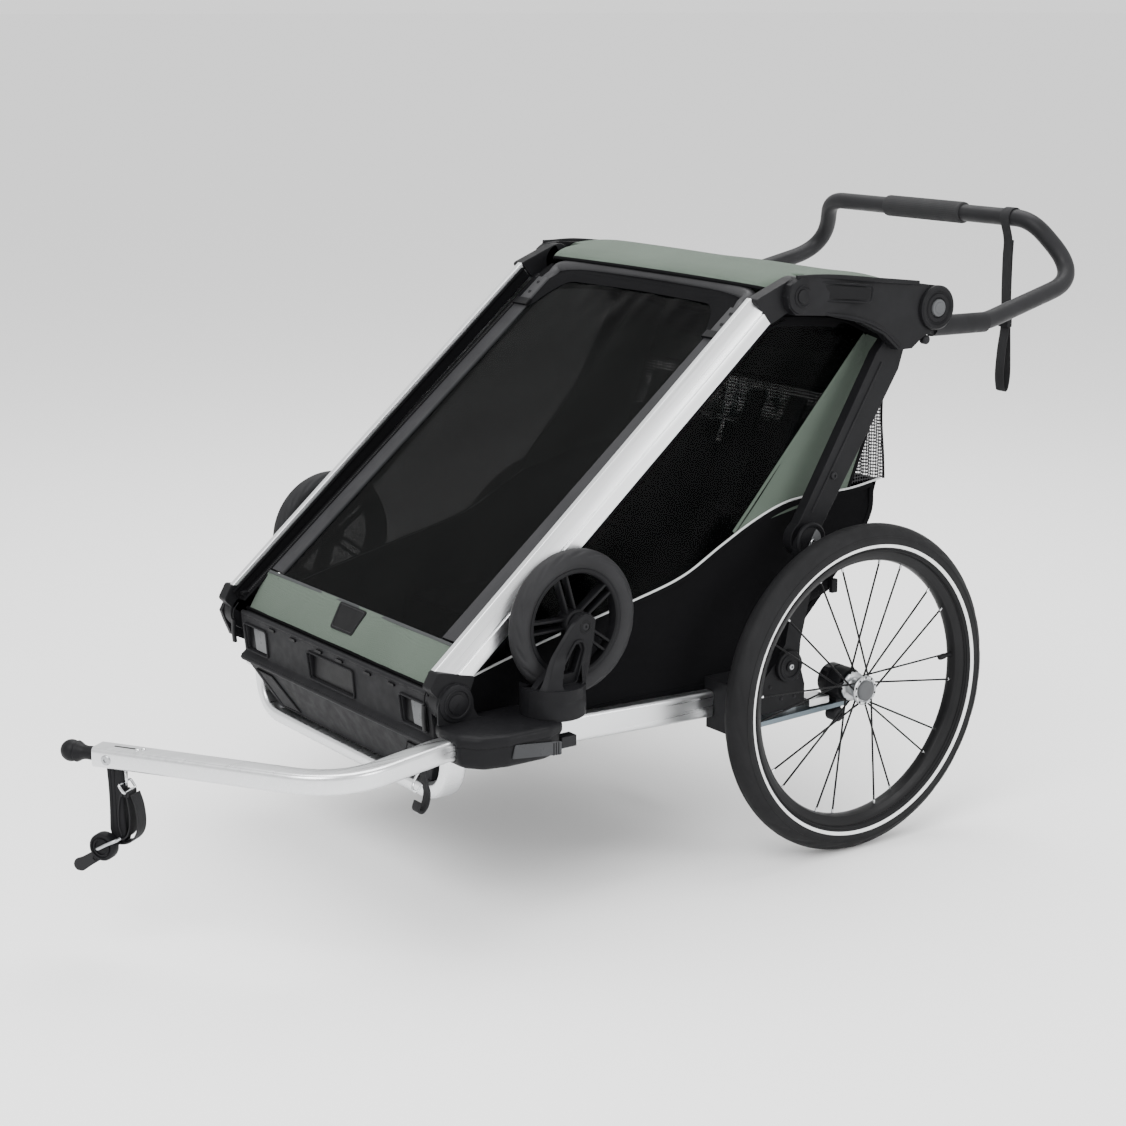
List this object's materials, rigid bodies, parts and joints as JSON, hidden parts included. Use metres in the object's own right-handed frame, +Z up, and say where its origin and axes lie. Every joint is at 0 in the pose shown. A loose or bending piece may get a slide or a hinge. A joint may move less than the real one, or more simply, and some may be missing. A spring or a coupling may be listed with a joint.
{
  "type": "child bicycle trailer",
  "caption": "Folding child bicycle trailer with spoked wheels, covered cabin, push handlebar, stowed stroller wheels and a bent tow arm.",
  "frame": {"origin": "centre of the bounding box in plan, on the ground under the wheels", "axes": "+X to the trailer's left, -Y the travel direction, +Z up"},
  "size_m": [0.8062, 1.6588, 0.9335],
  "materials": {
    "silver_frame": "satin anodised",
    "black_plastic": "fine moulded texture",
    "charcoal_plastic": "fine moulded texture",
    "grey_plastic": "satin",
    "bar_coat": "matte powder coat",
    "green_fabric": "woven polyester",
    "black_fabric": "woven polyester",
    "mesh_fabric": "open mesh",
    "tinted_film": "smoked film",
    "tyre_rubber": "matte rubber",
    "hub_steel": "turned",
    "spring_steel": "satin"
  },
  "bodies": {
    "chassis": {"left_side_rail": "silver_frame", "right_side_rail": "silver_frame", "front_cross_bar": "silver_frame", "rear_cross_beam": "black_plastic", "left_rear_bracket": "black_plastic", "right_rear_bracket": "black_plastic", "left_leaf_spring": "spring_steel", "right_leaf_spring": "spring_steel", "left_axle_housing": "black_plastic", "right_axle_housing": "black_plastic", "front_bumper": "charcoal_plastic", "fabric_body": "black_fabric", "seat_base": "black_fabric", "seat_back": "black_fabric", "rear_mesh_bag": "mesh_fabric", "left_side_window": "tinted_film", "right_side_window": "tinted_film", "left_wheel_dock": "charcoal_plastic", "right_wheel_dock": "charcoal_plastic"},
    "front_frame": {"left_front_pillar": "silver_frame", "right_front_pillar": "silver_frame", "left_pillar_foot": "black_plastic", "right_pillar_foot": "black_plastic", "front_bow": "bar_coat", "front_cover": "tinted_film", "front_band": "green_fabric"},
    "upper_frame": {"left_pod": "black_plastic", "right_pod": "black_plastic", "roof_canopy": "green_fabric"},
    "rear_link": {"left_rear_pillar": "black_plastic", "right_rear_pillar": "black_plastic"},
    "handlebar": {"handlebar": "bar_coat", "centre_grip": "black_plastic"},
    "wrist_strap": {"wrist_strap": "black_fabric"},
    "left_pivot_button": {"left_pivot_button": "grey_plastic"},
    "right_pivot_button": {"right_pivot_button": "grey_plastic"},
    "left_wheel": {"left_main_tyre": "tyre_rubber", "left_main_rim": "bar_coat", "left_main_hub": "hub_steel"},
    "right_wheel": {"right_main_tyre": "tyre_rubber", "right_main_rim": "bar_coat", "right_main_hub": "hub_steel"},
    "left_hub_button": {"left_hub_button": "grey_plastic"},
    "right_hub_button": {"right_hub_button": "grey_plastic"},
    "left_fork": {"left_stow_fork": "charcoal_plastic"},
    "right_fork": {"right_stow_fork": "charcoal_plastic"},
    "left_stow_wheel": {"left_stow_tyre": "tyre_rubber", "left_stow_wheel_centre": "charcoal_plastic"},
    "right_stow_wheel": {"right_stow_tyre": "tyre_rubber", "right_stow_wheel_centre": "charcoal_plastic"},
    "left_dock_button": {"left_dock_button": "charcoal_plastic"},
    "right_dock_button": {"right_dock_button": "charcoal_plastic"},
    "brake_pedal": {"parking_brake_pedal": "bar_coat"},
    "tow_arm": {"tow_arm": "silver_frame", "coupling_ball": "black_plastic", "hitch_flex": "black_plastic", "hitch_strap": "black_fabric", "safety_strap": "black_fabric"},
    "hitch_knob": {"hitch_knob": "black_plastic"}
  },
  "joints": [
    {"name": "frame_fold", "type": "hinge", "parent": "chassis", "child": "front_frame", "pos_m": [0, -0.3738, 0.333], "axis": [-1, 0, 0], "range_deg": [0, 24], "deforming": ["seat_back", "rear_mesh_bag", "left_side_window", "right_side_window"]},
    {"name": "pod_swing", "type": "hinge", "parent": "front_frame", "child": "upper_frame", "pos_m": [0, 0.2262, 0.841], "axis": [1, 0, 0], "range_deg": [0, 27.2]},
    {"name": "rear_pillar_swing", "type": "hinge", "parent": "chassis", "child": "rear_link", "pos_m": [0, 0.2322, 0.482], "axis": [-1, 0, 0], "range_deg": [0, 57]},
    {"name": "handlebar_tilt", "type": "hinge", "parent": "upper_frame", "child": "handlebar", "pos_m": [0, 0.4662, 0.81], "axis": [1, 0, 0], "range_deg": [-45, 40]},
    {"name": "strap_swing", "type": "hinge", "parent": "handlebar", "child": "wrist_strap", "pos_m": [0, 0.7862, 0.916], "axis": [1, 0, 0], "range_deg": [-41, 46]},
    {"name": "left_pivot_press", "type": "slide", "parent": "upper_frame", "child": "left_pivot_button", "axis": [-1, 0, 0], "range_m": [0, 0.003], "stiffness_N_per_m": 300, "springref_m": -0.002},
    {"name": "right_pivot_press", "type": "slide", "parent": "upper_frame", "child": "right_pivot_button", "axis": [1, 0, 0], "range_m": [0, 0.003], "stiffness_N_per_m": 300, "springref_m": -0.002},
    {"name": "left_wheel_spin", "type": "hinge", "parent": "chassis", "child": "left_wheel", "pos_m": [0.38, 0.3012, 0.252], "axis": [1, 0, 0], "continuous": true},
    {"name": "right_wheel_spin", "type": "hinge", "parent": "chassis", "child": "right_wheel", "pos_m": [-0.38, 0.3012, 0.252], "axis": [1, 0, 0], "continuous": true},
    {"name": "left_hub_press", "type": "slide", "parent": "left_wheel", "child": "left_hub_button", "axis": [-1, 0, 0], "range_m": [0, 0.0035], "stiffness_N_per_m": 300, "springref_m": -0.002},
    {"name": "right_hub_press", "type": "slide", "parent": "right_wheel", "child": "right_hub_button", "axis": [1, 0, 0], "range_m": [0, 0.0035], "stiffness_N_per_m": 300, "springref_m": -0.002},
    {"name": "left_fork_lift", "type": "slide", "parent": "chassis", "child": "left_fork", "axis": [0, 0, 1], "range_m": [0, 0.05]},
    {"name": "right_fork_lift", "type": "slide", "parent": "chassis", "child": "right_fork", "axis": [0, 0, 1], "range_m": [0, 0.05]},
    {"name": "left_stow_spin", "type": "hinge", "parent": "left_fork", "child": "left_stow_wheel", "pos_m": [0.33, -0.1938, 0.423], "axis": [1, 0, 0], "continuous": true},
    {"name": "right_stow_spin", "type": "hinge", "parent": "right_fork", "child": "right_stow_wheel", "pos_m": [-0.33, -0.1938, 0.423], "axis": [1, 0, 0], "continuous": true},
    {"name": "left_dock_press", "type": "slide", "parent": "chassis", "child": "left_dock_button", "axis": [0, -1, 0], "range_m": [0, 0.004], "stiffness_N_per_m": 300, "springref_m": -0.002},
    {"name": "right_dock_press", "type": "slide", "parent": "chassis", "child": "right_dock_button", "axis": [0, -1, 0], "range_m": [0, 0.004], "stiffness_N_per_m": 300, "springref_m": -0.002},
    {"name": "brake_press", "type": "hinge", "parent": "chassis", "child": "brake_pedal", "pos_m": [0, 0.1652, 0.198], "axis": [-1, 0, 0], "range_deg": [0, 18]},
    {"name": "arm_slide", "type": "slide", "parent": "chassis", "child": "tow_arm", "axis": [0, -1, 0], "range_m": [0, 0.12]},
    {"name": "knob_pull", "type": "slide", "parent": "tow_arm", "child": "hitch_knob", "axis": [0.5374, -0.8433, 0], "range_m": [0, 0.012], "stiffness_N_per_m": 300, "springref_m": -0.002}
  ],
  "couplings": [
    {"joint": "pod_swing", "follows": "frame_fold", "ratio": 1.1247},
    {"joint": "rear_pillar_swing", "follows": "frame_fold", "ratio": 2.3598},
    {"joint": "strap_swing", "follows": "handlebar_tilt", "ratio": -1}
  ]
}
